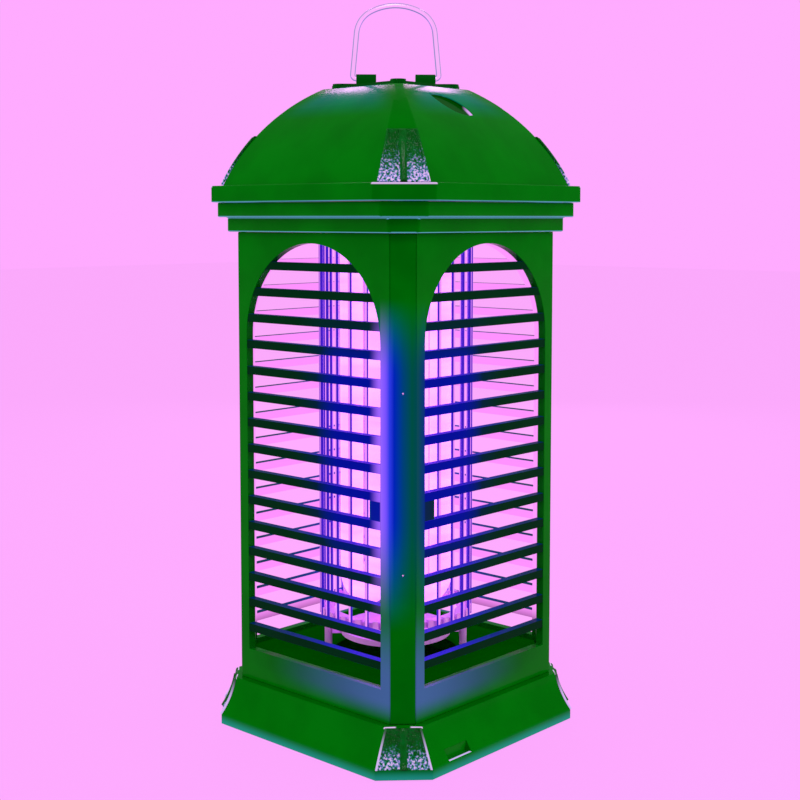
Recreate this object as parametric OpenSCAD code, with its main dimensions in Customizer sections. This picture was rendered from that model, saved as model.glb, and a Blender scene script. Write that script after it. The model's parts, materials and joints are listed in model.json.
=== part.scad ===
// Lantern-style electric bug zapper.
// Millimetres, +Z up, the origin at the centre of the footprint on the ground.
// The front panel faces -Y and the right panel faces +X. The catch tray and
// the cord gland are on the rear, +Y.

/* [Body] */
// Half width of the square body
body_half = 64; // [55:0.5:75]
// Chamfer leg on the body's corners
body_cham = 9.1; // [5:0.1:14]
// Panel thickness
wall = 4.6; // [2.5:0.1:6]
// Underside of the body panels
body_z0 = 24.5; // [18:0.5:32]
// Top of the body panels
body_z1 = 265.7; // [220:0.1:300]
// Gap at the seams between housing parts
seam = 0.15; // [0.05:0.05:0.4]

/* [Windows] */
// Half width of a window
win_half = 48.6; // [35:0.1:52]
// Height of the window sill
sill_z = 41; // [34:0.5:60]
// Height where the arch starts
arch_z = 211.6; // [160:0.1:215]
// Slats in each window
slats = 15; // [8:1:16]
// Distance between slats
slat_pitch = 13.95; // [10:0.05:20]
// Height of a slat
slat_h = 4.2; // [2:0.1:6]
// Depth of a slat
slat_d = 4.2; // [2:0.1:4.4]
// Width of the web beside the front and back corners
web_w = 7.5; // [3:0.5:12]

/* [Base] */
// Half width of the base lip
lip_half = 77; // [68:0.5:79]
// Chamfer leg of the base lip
lip_cham = 20; // [12:0.5:26]
// Top of the base lip
lip_z = 5.6; // [3:0.1:9]
// Half width of the base at its top
base_half = 68; // [64:0.5:74]
// Chamfer leg of the base at its top
base_cham = 13; // [8:0.5:18]
// Radius of the hollow curve of the base
flare_r = 45; // [30:1:80]
// Wall of the base
base_wall = 2.5; // [1.5:0.1:4]
// Clearance under the base rim, filled by the feet
foot_h = 0.8; // [0.5:0.1:3]

// Ends of the small notch in the right side of the base
notch_y = [-44, -27]; // [-50:1:50]

/* [Cornice] */
// Half widths of the three steps, lowest first
tier_half = [68.4, 74.75, 79.4]; // [66:0.05:80]
// Chamfer legs of the three steps, lowest first
tier_cham = [10.3, 16.1, 21.3]; // [8:0.1:24]
// Tops of the three steps, lowest first
tier_top = [273.4, 281, 289.7]; // [270:0.1:292]

/* [Dome] */
// Face profile of the dome: centre offset, centre height and radius
dome_face = [-33.2, 242.2, 116.7]; // [-40:0.1:250]
// Corner profile of the dome: centre offset, centre height and radius
dome_diag = [-1, 247.5, 101.5]; // [-40:0.1:250]
// Flat top of the dome
dome_top = 341; // [335:0.5:345]
// Wall of the dome
dome_wall = 2.5; // [1.5:0.1:4]
// Top of the corner ornaments
trim_top = 316; // [300:1:325]
// Half widths of a dome ornament at its foot and its top
dome_trim = [12.7, 7.4]; // [3:0.1:14]
// Half widths of a base ornament at its foot and its top
base_trim = [14, 9]; // [5:0.1:14]

// Middle of the leaf-shaped slot in the right face of the dome
slot_mid = [42.3, -3.5, 330.9]; // [-60:0.1:340]
// Length of the leaf-shaped slot
slot_len = 25.5; // [10:0.5:30]
// Half width of the leaf-shaped slot
slot_half = 6.2; // [1:0.1:8]
// Depth of the leaf-shaped slot
slot_depth = 1.2; // [0.5:0.1:2]

/* [Cap and handle] */
// Half width of the top plate
cap_half = 24; // [18:0.5:28]
// Half width of the pads on the plate's corners
pad_r = 4; // [2:0.1:5]
// Height of the pads on the plate's corners
pad_h = 2.8; // [1.5:0.1:4]
// Top of the plate's raised centre
cap_z1 = 343.7; // [342:0.1:346]
// Height of the handle's pivot
pivot_z = 346.9; // [346:0.1:352]
// Radius of the handle wire
wire_r = 1.4; // [1:0.05:2]
// Radius of the pivot lugs
lug_r = 2.3; // [2.2:0.1:4]
// Height of the handle's crown, on the wire's centreline
crown_z = 385.3; // [375:0.1:400]
// Radius of the handle's crown
crown_r = 28.9; // [20:0.1:40]
// Radius of the handle's shoulders
shoulder_r = 14; // [8:0.5:20]
// Half angle of the crown
crown_a = 27.6; // [15:0.1:45]
// Outward lean of the handle's legs
leg_a = 5; // [0:0.5:10]
// Inner end of a pivot lug, from the axis
lug_x = 10.5; // [9:0.5:14]
// Length of a pivot lug
lug_l = 10.6; // [8:0.1:12]

/* [Grid] */
// Radius of the ring of grid wires
grid_r = 40.7; // [36:0.1:44]
// Grid wires, live and return together
grid_n = 26; // [16:2:36]
// Radius of a grid wire
grid_wire_r = 1; // [0.5:0.05:1.2]
// Length of wire beyond each ring's face
wire_over = 5; // [3:0.5:6]
// Width of the tabs between the wires
tab_w = 3; // [1:0.5:5]
// Top face of the lower grid ring
ring_z = 62; // [55:0.5:75]

/* [Lamp] */
// Radius of a lamp tube
tube_r = 7; // [5:0.5:8]
// Radius of the circle of tube legs
tube_pcr = 26; // [22:0.5:28]
// Lowest point of the tubes
tube_z0 = 66; // [64:0.5:80]

/* [Tray] */
// Half width of the tray opening
tray_half = 52; // [40:1:54]
// Bottom of the tray opening
tray_z0 = 3.2; // [3:0.1:5]
// Top of the tray opening
tray_z1 = 20.6; // [16:0.1:21.5]

/* [Cord] */
// Radius of the cord hole
cord_r = 3.3; // [2.5:0.1:4.5]
// Height of the cord gland
gland_z = 33; // [31:0.5:34]
// Radius of the gland's sleeve
gland_r = 5; // [4.5:0.1:5.5]

/* [Hidden] */
$fn = 48;
post_x = body_half - body_cham;
// Depth of a corner post along the walls
post_d = 6;
// Underside of the web beside the front and back corners
web_z = sill_z + 6*slat_pitch + 0.05;
// Distance of the base screws from the axis
screw_x = 62;
// Radius of the hole that insects drop through
drop_r = 34;
// Underside of the lamp's hub
hub_z0 = 46.5;
// Top of the upper grid ring
top_ring_z1 = 264.5;
// Underside and thickness of the circuit board
board_z0 = 276;
board_t = 1.6;
// Place of the high-voltage leads
lead_x = 24;
lead_y = 30;
in_half = body_half - wall;
lip_diag = lip_half*sqrt(2) - lip_cham/sqrt(2);
base_diag = base_half*sqrt(2) - base_cham/sqrt(2);
head_z0 = body_z1 + 0.1;
head_z1 = head_z0 + 2.5;
holder_z0 = 260;
floor_z1 = 38.5;
ring_r = grid_r - grid_wire_r - 0.05;
// Radius of the beads that join the handle's arcs and legs
bead_r = wire_r + 0.12;
shoulder_c = [(crown_r - shoulder_r)*sin(crown_a), crown_z - crown_r + (crown_r - shoulder_r)*cos(crown_a)];
leg_top = [shoulder_c[0] + shoulder_r*cos(leg_a), shoulder_c[1] + shoulder_r*sin(leg_a)];
leg_x = leg_top[0] + (leg_top[1] - pivot_z)*tan(leg_a);

// ---- plan and profile helpers ----

// Square with chamfered corners
module csq(h, c)
    polygon([
        [h, c - h], [h, h - c], [h - c, h], [c - h, h],
        [-h, h - c], [-h, c - h], [c - h, -h], [h - c, -h]
    ]);

// Slab on the chamfered plan
module slab(h, c, z0, z1) translate([0, 0, z0]) linear_extrude(height = z1 - z0) csq(h, c);

// Solid whose four faces follow child 0 and whose four corners follow child 1
module four_sided()
    intersection() {
        rotate([90, 0, 0]) linear_extrude(height = 240, center = true) children(0);
        rotate([90, 0, 90]) linear_extrude(height = 240, center = true) children(0);
        rotate([90, 0, 45]) linear_extrude(height = 240, center = true) children(1);
        rotate([90, 0, -45]) linear_extrude(height = 240, center = true) children(1);
    }

// Centre of the circle of radius r outside the chord from [a, z0] to [b, z1]
function flare_c(a, z0, b, z1, r) =
    let (dx = b - a, dz = z1 - z0, l = sqrt(dx*dx + dz*dz), k = sqrt(r*r - l*l/4))
    [(a + b)/2 + k*dz/l, (z0 + z1)/2 - k*dx/l];

// Hollow-curved profile of the base, set in by off
module flare2d(a, b, off, z0, z1) {
    c = flare_c(a, lip_z, b, body_z0, flare_r);
    difference() {
        translate([off - a, z0]) square([2*(a - off), z1 - z0]);
        for (s = [-1, 1]) translate([s*(c[0] - off), c[1]]) circle(r = flare_r, $fn = 120);
    }
}

module base_solid(off, z0, z1)
    four_sided() {
        flare2d(lip_half, base_half, off, z0, z1);
        flare2d(lip_diag, base_diag, off, z0, z1);
    }

// Domed profile p, set in by off
module dome2d(p, off, z0, z1)
    intersection() {
        translate([p[0], p[1]]) circle(r = p[2] - off, $fn = 180);
        translate([-p[0], p[1]]) circle(r = p[2] - off, $fn = 180);
        translate([-110, z0]) square([220, z1 - z0]);
    }

module dome_solid(off, z0, z1)
    four_sided() {
        dome2d(dome_face, off, z0, z1);
        dome2d(dome_diag, off, z0, z1);
    }

// Arched window, set in by g
module window2d(g) {
    translate([g - win_half, sill_z + g]) square([2*(win_half - g), arch_z - sill_z - g]);
    translate([0, arch_z]) circle(r = win_half - g, $fn = 120);
}

// Wall panel k, with its web on side s
module panel(k, s)
    rotate([0, 0, 90*k]) {
        difference() {
            translate([0, -in_half, 0]) rotate([90, 0, 0]) linear_extrude(height = wall)
                difference() {
                    translate([seam - post_x, body_z0 + seam])
                        square([2*(post_x - seam), body_z1 - body_z0 - 2*seam]);
                    window2d(0);
                }
            if (k == 2) translate([0, -in_half + 1, gland_z])
                rotate([90, 0, 0]) cylinder(r = gland_r + 0.1, h = wall + 2);
        }
        translate([s > 0 ? win_half - web_w : -win_half - 0.5, 0.2 - body_half, web_z])
            cube([web_w + 0.5, slat_d, slat_pitch - slat_h - 0.1]);
    }

// Slats of window k
module grille(k)
    rotate([0, 0, 90*k])
        for (i = [1:slats])
            intersection() {
                translate([-win_half - 5, -body_half + 0.2, sill_z + slat_pitch*i - slat_h])
                    cube([2*win_half + 10, slat_d, slat_h]);
                translate([0, -in_half + 1, 0]) rotate([90, 0, 0])
                    linear_extrude(height = wall + 2) window2d(0.05);
            }

// Prism along +X: a trapezium of half widths w from z0 up to z1
module trapezium(w, z0, z1)
    translate([40, 0, 0]) rotate([90, 0, 90]) linear_extrude(height = 80)
        polygon([[-w[0], z0], [w[0], z0], [w[1], z1], [-w[1], z1]]);

// Children on the four corner diagonals
module at_corners() for (a = [45:90:315]) rotate([0, 0, a]) children();

// Annulus
module ring(r0, r1, z0, z1)
    translate([0, 0, z0]) linear_extrude(height = z1 - z0)
        difference() { circle(r = r1, $fn = 96); circle(r = r0, $fn = 96); }

// Grid wires, every second one from number i0
module grid_wires(i0)
    for (i = [i0:2:grid_n - 1]) rotate([0, 0, i*360/grid_n])
        translate([grid_r, 0, ring_z - wire_over])
            cylinder(r = grid_wire_r, h = holder_z0 - ring_z + 2*wire_over, $fn = 16);

// Holding tabs between the wires, on a ring's rim
module grid_tabs(z0, h)
    for (i = [0:grid_n - 1]) rotate([0, 0, (i + 0.5)*360/grid_n])
        translate([ring_r - 1, -tab_w/2, z0]) cube([2.6, tab_w, h]);

// ---- base ----

module base_skirt() color([0, 0.35, 0.05]) difference() {
    base_solid(0, foot_h, body_z0);
    difference() {
        base_solid(base_wall, foot_h - 1, body_z0 - 2.2);
        translate([69, notch_y[0] - 2, 3.4]) cube([10, notch_y[1] - notch_y[0] + 4, 9.6]);
    }
    translate([-50, -50, body_z0 - 4]) cube([100, 100, 8]);
    translate([lip_half - 4.2, notch_y[0], lip_z + 0.6]) cube([10, notch_y[1] - notch_y[0], 5]);
    translate([-tray_half, 58, tray_z0]) cube([2*tray_half, 30, tray_z1 - tray_z0]);
}

module base_corner_trims() color([0.05, 0.4, 0.35]) at_corners()
    difference() {
        intersection() {
            rotate([90, 0, 0]) linear_extrude(height = 60, center = true)
                flare2d(lip_diag, base_diag, -1, lip_z + 0.3, body_z0 - 0.3);
            trapezium(base_trim, lip_z, body_z0);
        }
        rotate([90, 0, 0]) linear_extrude(height = 70, center = true)
            flare2d(lip_diag, base_diag, -0.05, lip_z - 1, body_z0 + 1);
    }

module bottom_plate() color([0.05, 0.25, 0.1]) difference() {
    slab(lip_half - base_wall - 0.4, lip_cham - 1, 1, 2.9);
    for (a = [0:90:270]) rotate([0, 0, a]) translate([screw_x, 0, 0]) cylinder(r = 1.8, h = 6, $fn = 24);
}

module rubber_feet() color([0.02, 0.08, 0.03]) at_corners()
    translate([78, 0, 0]) cylinder(r = 7, h = 1, $fn = 32);

module base_screws() color([0.6, 0.6, 0.62])
    for (a = [0:90:270]) rotate([0, 0, a]) translate([screw_x, 0, 0]) {
        difference() {
            translate([0, 0, 0.3]) cylinder(r = 3, h = 0.7, $fn = 24);
            translate([-2, -0.4, 0]) cube([4, 0.8, 0.6]);
        }
        translate([0, 0, 0.9]) cylinder(r = 1.5, h = 1.95, $fn = 24);
    }

module catch_tray() color([0, 0.3, 0.06]) difference() {
    union() {
        translate([-49, -56, tray_z0 + 0.4]) cube([98, 118, 15.9]);
        intersection() {
            base_solid(0, foot_h, body_z0);
            translate([0.4 - tray_half, 61, tray_z0 + 0.3])
                cube([2*(tray_half - 0.4), 20, tray_z1 - tray_z0 - 0.7]);
        }
    }
    translate([-47.4, -54.4, tray_z0 + 2]) cube([94.8, 114.8, 20]);
    translate([-20, 78, 11]) rotate([0, 90, 0]) cylinder(r = 5.5, h = 40, $fn = 64);
}

// Plate under the grid, on four legs, with the drop hole and a notch for the cord gland
module floor_plate() color([0.02, 0.2, 0.1]) difference() {
    union() {
        slab(in_half - 0.3, body_cham, floor_z1 - 2.5, floor_z1);
        for (x = [-55, 55], y = [-30, 30])
            translate([x - 2.5, y - 7, body_z0 + 0.1]) cube([5, 14, floor_z1 - body_z0 - 1.1]);
    }
    translate([0, 0, 30]) cylinder(r = drop_r, h = 20, $fn = 96);
    translate([-8, 51, 30]) cube([16, 12, 20]);
}

// ---- body ----

module front_panel() color([0, 0.4, 0.05]) panel(0, 1);
module right_panel() color([0, 0.4, 0.05]) panel(1, -1);
module rear_panel() color([0, 0.4, 0.05]) panel(2, 1);
module left_panel() color([0, 0.4, 0.05]) panel(3, -1);
module front_grille() color([0, 0.25, 0.15]) grille(0);
module right_grille() color([0, 0.25, 0.15]) grille(1);
module rear_grille() color([0, 0.25, 0.15]) grille(2);
module left_grille() color([0, 0.25, 0.15]) grille(3);

module corner_posts() color([0, 0.4, 0.05]) for (a = [0:90:270]) rotate([0, 0, a])
    translate([0, 0, body_z0 + seam]) linear_extrude(height = body_z1 - body_z0 - 2*seam)
        polygon([
            [post_x, -body_half], [body_half, -post_x],
            [body_half - post_d, -post_x], [post_x, post_d - body_half]
        ]);

module cornice_ring() color([0, 0.35, 0.05]) difference() {
    union() {
        slab(tier_half[0], tier_cham[0], body_z1, tier_top[0]);
        slab(tier_half[1], tier_cham[1], tier_top[0], tier_top[1]);
    }
    slab(61, body_cham + 1, body_z1 - 1, tier_top[1] + 1);
}

// ---- head ----

// Leaf of length l along X and half width w
module leaf2d(l, w) {
    big_r = (l*l/4 + w*w)/(2*w);
    intersection() {
        translate([0, big_r - w]) circle(r = big_r, $fn = 180);
        translate([0, w - big_r]) circle(r = big_r, $fn = 180);
    }
}

module dome_cover() color([0, 0.4, 0.05]) difference() {
    union() {
        slab(tier_half[2], tier_cham[2], tier_top[1] + seam, tier_top[2]);
        dome_solid(0, tier_top[2] - 0.5, dome_top);
    }
    dome_solid(dome_wall, tier_top[1] - 1, dome_top - dome_wall);
    translate(slot_mid) rotate([0, 113.6, 59.4]) rotate([0, 0, 33.9]) rotate([0, 90, 0])
        translate([0, 0, -5]) linear_extrude(height = 5 + slot_depth) leaf2d(slot_len, slot_half);
}

module dome_trim2d(r) translate([dome_diag[0], dome_diag[1]]) circle(r = r, $fn = 180);

module dome_corner_trims() color([0.05, 0.4, 0.35]) at_corners()
    difference() {
        union() {
            intersection() {
                rotate([90, 0, 0]) linear_extrude(height = 60, center = true)
                    dome_trim2d(dome_diag[2] + 0.9);
                trapezium(dome_trim, tier_top[2] + 0.3, trim_top);
            }
            intersection() {
                rotate([90, 0, 0]) linear_extrude(height = 60, center = true)
                    dome_trim2d(dome_diag[2] + 2);
                translate([40, -1.4, tier_top[2] + 0.3]) cube([80, 2.8, trim_top - tier_top[2]]);
            }
        }
        rotate([90, 0, 0]) linear_extrude(height = 70, center = true)
            dome_trim2d(dome_diag[2] + 0.05);
    }

module top_cap() color([0, 0.3, 0.08]) difference() {
    union() {
        translate([-cap_half, -cap_half, dome_top + 0.1]) cube([2*cap_half, 2*cap_half, 1.9]);
        translate([-17, -17, dome_top + 0.1]) cube([34, 34, cap_z1 - dome_top - 0.1]);
        at_corners() translate([0, 0, dome_top + 0.1]) linear_extrude(height = pad_h) {
            translate([20, 0.1 - pad_r]) square([9.5, 2*pad_r - 0.2]);
            translate([33.6 - pad_r, 0]) circle(r = pad_r, $fn = 48);
        }
        for (a = [45, 225]) rotate([0, 0, a]) {
            translate([lug_x, 0, pivot_z]) rotate([0, 90, 0]) cylinder(r = lug_r, h = lug_l, $fn = 40);
            translate([lug_x, -lug_r, dome_top + 0.2]) cube([lug_l, 2*lug_r, pivot_z - dome_top - 0.2]);
        }
    }
    for (a = [45, 225]) rotate([0, 0, a]) translate([lug_x + 2, 0, pivot_z])
        rotate([0, 90, 0]) cylinder(r = wire_r + 0.06, h = 12, $fn = 40);
}

module cap_screw() color([0.6, 0.6, 0.62]) difference() {
    translate([0, 0, cap_z1]) cylinder(r = 3.2, h = 1.6, $fn = 32);
    translate([-2.4, -0.45, cap_z1 + 0.8]) cube([4.8, 0.9, 2]);
    translate([-0.45, -2.4, cap_z1 + 0.8]) cube([0.9, 4.8, 2]);
}

// Wire arc of radius r about [x, y], from angle a0 through da
module wire_arc(x, y, r, a0, da)
    translate([x, y, 0]) rotate([0, 0, a0])
        rotate_extrude(angle = da, $fn = 120) translate([r, 0]) circle(r = wire_r, $fn = 32);

module bail_handle() color([0.8, 0.8, 0.82]) rotate([0, 0, 45]) rotate([90, 0, 0]) {
    gap_c = 0.1/crown_r*180/PI;
    gap_s = 0.1/shoulder_r*180/PI;
    wire_arc(0, crown_z - crown_r, crown_r, 90 - crown_a + gap_c, 2*(crown_a - gap_c));
    for (m = [0, 1]) mirror([m, 0, 0]) {
        translate([crown_r*sin(crown_a), crown_z - crown_r + crown_r*cos(crown_a), 0])
            sphere(r = bead_r, $fn = 32);
        wire_arc(shoulder_c[0], shoulder_c[1], shoulder_r, leg_a + gap_s, 90 - crown_a - leg_a - 2*gap_s);
        translate([leg_top[0], leg_top[1], 0]) sphere(r = bead_r, $fn = 32);
        translate([leg_x, pivot_z, 0]) rotate([-90, 0, leg_a]) translate([0, 0, 0.1])
            cylinder(r = wire_r, h = (leg_top[1] - pivot_z)/cos(leg_a) - 0.2, $fn = 32);
        translate([leg_x, pivot_z, 0]) sphere(r = bead_r, $fn = 32);
        translate([lug_x + 2.5, pivot_z, 0]) rotate([0, 90, 0])
            cylinder(r = wire_r, h = leg_x - lug_x - 2.6, $fn = 32);
    }
}

module head_plate() color([0.02, 0.2, 0.1]) difference() {
    union() {
        slab(60.7, body_cham + 1, head_z0, head_z1);
        for (x = [-34, 34], y = [-24, 24])
            translate([x, y, head_z0]) cylinder(r = 3, h = board_z0 - 0.1 - head_z0, $fn = 32);
    }
    for (x = [-lead_x, lead_x]) translate([x, lead_y, head_z0 - 1]) cylinder(r = 2, h = 6, $fn = 24);
}

module circuit_board() color([0.1, 0.4, 0.2])
    translate([-40, -30, board_z0]) cube([80, 66, board_t]);

module transformer() color([0.5, 0.35, 0.1]) translate([-30, -20, board_z0 + board_t + 0.1]) {
    cube([26, 22, 6]);
    translate([3, 3, 6]) cube([20, 16, 12]);
    translate([0, 0, 18]) cube([26, 22, 5]);
}

module capacitors() color([0.1, 0.15, 0.5]) for (x = [8, 22, 33])
    translate([x, 5, board_z0 + board_t + 0.1]) cylinder(r = 5, h = 18, $fn = 40);

module hv_leads() color([0.7, 0.1, 0.1]) for (x = [-lead_x, lead_x])
    translate([x, lead_y, top_ring_z1 + 0.1]) cylinder(r = 0.9, h = board_z0 - top_ring_z1 - 0.2, $fn = 16);

// ---- lamp and grid ----

module lamp_holder() color([0.85, 0.85, 0.85]) difference() {
    translate([0, 0, holder_z0]) cylinder(r = 35.5, h = head_z0 - 0.05 - holder_z0, $fn = 96);
    for (i = [0:7]) rotate([0, 0, 22.5 + 45*i]) translate([tube_pcr, 0, holder_z0 - 1])
        cylinder(r = tube_r + 0.1, h = 4, $fn = 48);
}

module uv_lamp() color([0.75, 0.6, 1]) {
    d = tube_pcr*sin(22.5);
    bz = tube_z0 + tube_r + d;
    for (a = [0:90:270]) rotate([0, 0, a]) translate([tube_pcr*cos(22.5), 0, 0]) {
        for (s = [-1, 1])
            translate([0, s*d, bz]) cylinder(r = tube_r, h = holder_z0 + 2.8 - bz, $fn = 48);
        translate([0, 0, bz]) rotate([0, 90, 0]) rotate([0, 0, -90])
            rotate_extrude(angle = 180, $fn = 96) translate([d, 0]) circle(r = tube_r, $fn = 48);
    }
}

module grid_top_ring() color([0.9, 0.88, 0.9]) {
    ring(35.8, ring_r, top_ring_z1 - 3.5, top_ring_z1);
    grid_tabs(top_ring_z1 - 3.5, 3.5);
}

module grid_bottom_ring() color([0.9, 0.88, 0.9]) {
    ring(34, ring_r, ring_z - 3, ring_z);
    grid_tabs(ring_z - 3, 4.2);
}

module grid_hub() color([0.85, 0.85, 0.88]) {
    difference() {
        translate([0, 0, hub_z0]) cylinder(r = 30, h = 3, $fn = 96);
        translate([0, 0, hub_z0 - 0.5]) cylinder(r = 12, h = 4, $fn = 48);
    }
    at_corners() translate([29, -3, hub_z0]) cube([5.9, 6, 3]);
}

module grid_posts() color([0.85, 0.85, 0.88]) at_corners()
    translate([37, 0, floor_z1 + 0.05]) cylinder(r = 2.1, h = ring_z - 3.1 - floor_z1, $fn = 32);

module grid_wires_live() color([0.75, 0.75, 0.78]) grid_wires(0);
module grid_wires_return() color([0.7, 0.7, 0.74]) grid_wires(1);

module cord_gland() color([0.02, 0.1, 0.04]) translate([0, 0, gland_z]) rotate([-90, 0, 0]) difference() {
    union() {
        translate([0, 0, in_half - 2]) cylinder(r = gland_r, h = wall + 2.2, $fn = 48);
        translate([0, 0, body_half + 0.1]) cylinder(r = gland_r + 2, h = 2.4, $fn = 48);
        translate([0, 0, body_half + 2]) cylinder(r = gland_r + 0.2, h = 5, $fn = 48);
    }
    translate([0, 0, in_half - 3]) cylinder(r = cord_r, h = 20, $fn = 48);
}

base_skirt();
base_corner_trims();
bottom_plate();
rubber_feet();
base_screws();
catch_tray();
floor_plate();
front_panel();
right_panel();
rear_panel();
left_panel();
front_grille();
right_grille();
rear_grille();
left_grille();
corner_posts();
cornice_ring();
dome_cover();
dome_corner_trims();
top_cap();
cap_screw();
bail_handle();
head_plate();
circuit_board();
transformer();
capacitors();
hv_leads();
lamp_holder();
uv_lamp();
grid_top_ring();
grid_bottom_ring();
grid_hub();
grid_posts();
grid_wires_live();
grid_wires_return();
cord_gland();
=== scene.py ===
"""Looks of a lantern-style electric bug zapper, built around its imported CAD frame. Metres, +Z up."""
import json
import math

import bpy
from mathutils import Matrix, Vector, noise


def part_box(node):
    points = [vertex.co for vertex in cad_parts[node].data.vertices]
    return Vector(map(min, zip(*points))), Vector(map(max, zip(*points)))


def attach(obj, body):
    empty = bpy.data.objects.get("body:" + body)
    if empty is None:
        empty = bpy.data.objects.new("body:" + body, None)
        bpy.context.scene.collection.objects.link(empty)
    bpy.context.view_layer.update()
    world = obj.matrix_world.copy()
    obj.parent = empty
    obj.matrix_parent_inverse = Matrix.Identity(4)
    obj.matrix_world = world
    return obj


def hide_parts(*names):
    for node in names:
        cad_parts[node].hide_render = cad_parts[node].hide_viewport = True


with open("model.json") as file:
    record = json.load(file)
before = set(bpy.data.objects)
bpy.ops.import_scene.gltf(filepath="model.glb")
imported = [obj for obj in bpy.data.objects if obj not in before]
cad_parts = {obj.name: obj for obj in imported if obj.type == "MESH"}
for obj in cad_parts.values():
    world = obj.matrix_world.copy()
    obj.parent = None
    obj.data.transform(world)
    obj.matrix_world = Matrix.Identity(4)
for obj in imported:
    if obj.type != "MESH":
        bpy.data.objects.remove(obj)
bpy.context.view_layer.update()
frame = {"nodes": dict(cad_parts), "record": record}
MM = 0.001
UP = Vector((0, 0, 1))

# ---- driving dimensions, in millimetres ----
WIRE_R, PIVOT_Z = 1.39, 346.9                    # the bail's wire, and the height it turns at
TIP_X, FOOT_R = (13.0, 17.0), 1.9                # points along its straight tip, and the bend after it
LEG_A, SHOULDER_R = 5.0, 14.0                    # lean of its legs in degrees, and its shoulders
CROWN_Z, CROWN_R, CROWN_A = 385.3, 28.9, 27.6    # its crown: top, radius and half angle in degrees
DOME_DIAG = (-1.0, 247.5, 101.5)                 # the dome's corner arc: centre out, centre up, radius
LIP_Z, LIP_DIAG = 5.6, 94.75                     # the base's flare on the corner: its foot,
BASE_TOP, BASE_DIAG, FLARE_R = 24.5, 86.97, 45.0  # its top, and its radius
DOME_TRIM_Z, DOME_TRIM_HALF = (290.1, 316.0), (12.7, 7.4)
BASE_TRIM_Z, BASE_TRIM_HALF = (LIP_Z + 0.4, BASE_TOP - 0.4), (14.0, 9.0)
TRIM_LIFT, TRIM_BACK = 0.9, 0.05                 # heights of an ornament's front and back over its face
RIB_HALF, RIB_RISE = 1.1, 0.9
LEDGE_HALF, LEDGE_RISE = 1.6, 0.2                # the ledge beside the rib
RIM_WIDTH, RIM_RISE = 1.0, 0.35
DENT_TOP, DENT_DEPTH, DENT_SCALE = 0.1, 0.55, 0.85
TUBE_PCR, TUBE_R, TUBE_Z0, GLASS_T = 26.0, 7.0, 66.0, 0.9
TUBE_SUNK = 1.5                                  # how far the glowing cores reach into the lamp holder
PIP_OUT, PIP_Z, PIP_R, PIP_FLAT = 84.05, (99.2, 188.5), 0.45, 0.6

# ---- colours, linear ----
BLACK = (0.0, 0.0, 0.0)
PINK = (1.0, 0.407, 1.0)
SHELL_GREEN = (0.0, 0.155, 0.002)
DEEP_GREEN = (0.0, 0.055, 0.0)
# Painted glow of the tubes' light across the front corner, from just inside the front window to just inside
# the right one
CORNER_GLOW_HUES = (
    (0.0, (0.0, 0.002, 0.28)), (0.165, (0.0, 0.002, 0.32)), (0.18, (0.3, 0.12, 1.0)),
    (0.245, (0.2, 0.08, 1.0)), (0.30, (0.03, 0.04, 0.8)), (0.37, (0.0, 0.012, 0.48)),
    (0.5, (0.0, 0.045, 0.19)), (0.63, (0.0, 0.07, 0.05)), (0.73, (0.0, 0.055, 0.09)),
    (0.82, (0.0, 0.02, 0.2)), (0.84, (0.0, 0.01, 0.06)), (1.0, (0.0, 0.012, 0.03)))
# Painted light of the tubes on the slats: on their front and back faces, and on the faces that look up or
# down
SLAT_FACE_GLOW_HUES = ((0.0, BLACK), (0.5, (0.0, 0.001, 0.03)), (1.0, (0.0, 0.0, 0.3)))
SLAT_EDGE_LIGHT_HUES = ((0.0, (0.0, 0.004, 0.09)), (0.5, (0.0, 0.0, 0.26)), (1.0, (0.02, 0.0, 0.62)))
SLAT_END_LIGHT = (0.35, 0.12, 1.0)
GLOW_SHADE = (0.0, 0.004, 0.004)
INSIDE_LIGHT = (1.0, 0.28, 1.0)
SILL_LIGHT, SILL_SHADE = (0.05, 0.07, 0.3), (0.0, 0.01, 0.006)
CROWN_LIGHT = (0.0, 0.02, 0.14)
EDGE_LIGHT = (0.1, 0.26, 0.5)
LIP_LIGHT = (0.012, 0.13, 0.2)
CORNER_EDGE_LIGHT = (0.75, 0.4, 0.9)
NOTCH_LIGHT = (0.6, 0.4, 0.9)
LEAF_LIGHT, LEAF_SHADE, LEAF_TIP_LIGHT = (0.0, 0.01, 0.0), (0.0, 0.05, 0.0), (0.8, 0.38, 1.0)
RIM_LIGHT = (0.7, 0.42, 0.95)
GLINT_HUES = ((0.45, BLACK), (0.53, (0.01, 0.12, 0.16)), (0.6, (0.25, 0.16, 0.8)), (0.68, (0.9, 0.5, 1.0)))

# ---- where the painted light begins and ends: each pair is a soft step, in metres ----
# Along a face towards the front and back corners, as minus x times y, in square metres
SHELL_SIDE, SLAT_SIDE = (0.00252, 0.00272), (-0.0009, 0.0014)
SLAT_EDGE_SIDE, SLAT_END_SIDE = (-0.0025, 0.0022), (0.0026, 0.0031)
SILL_LIGHT_SIDE, SILL_SHADE_SIDE = (-0.0022, 0.0036), (-0.0045, 0.002)
# Up the object
GLOW_RISE, GLOW_FALL = (0.070, 0.130), (0.195, 0.235)
SLAT_EDGE_FALL = (0.195, 0.25)
LIP_FALL = (0.001, 0.0065)
SILL_RISE, SILL_FALL = (0.025, 0.036), (0.045, 0.085)
INSIDE_RISE = (0.044, 0.058)
CORNICE_RISE = (0.2635, 0.265)
COVER_RISE, COVER_FALL = (0.28105, 0.28112), (0.2813, 0.2818)
CROWN_RISE = (0.323, 0.341)
# Out from the axis planes, by the smaller or the larger of |x| and |y|, or by their difference
POST_EDGE, PANEL_FACE = (0.0545, 0.0553), (0.0612, 0.0618)
CROWN_ASIDE = (0.004, 0.022)
SHELL_REACH, SLAT_REACH, REACH_STEP = 0.0597, 0.0612, 0.0002
CORNER_BAND = 0.0235                             # half of the width that CORNER_GLOW_HUES spans, as x plus y
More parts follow.
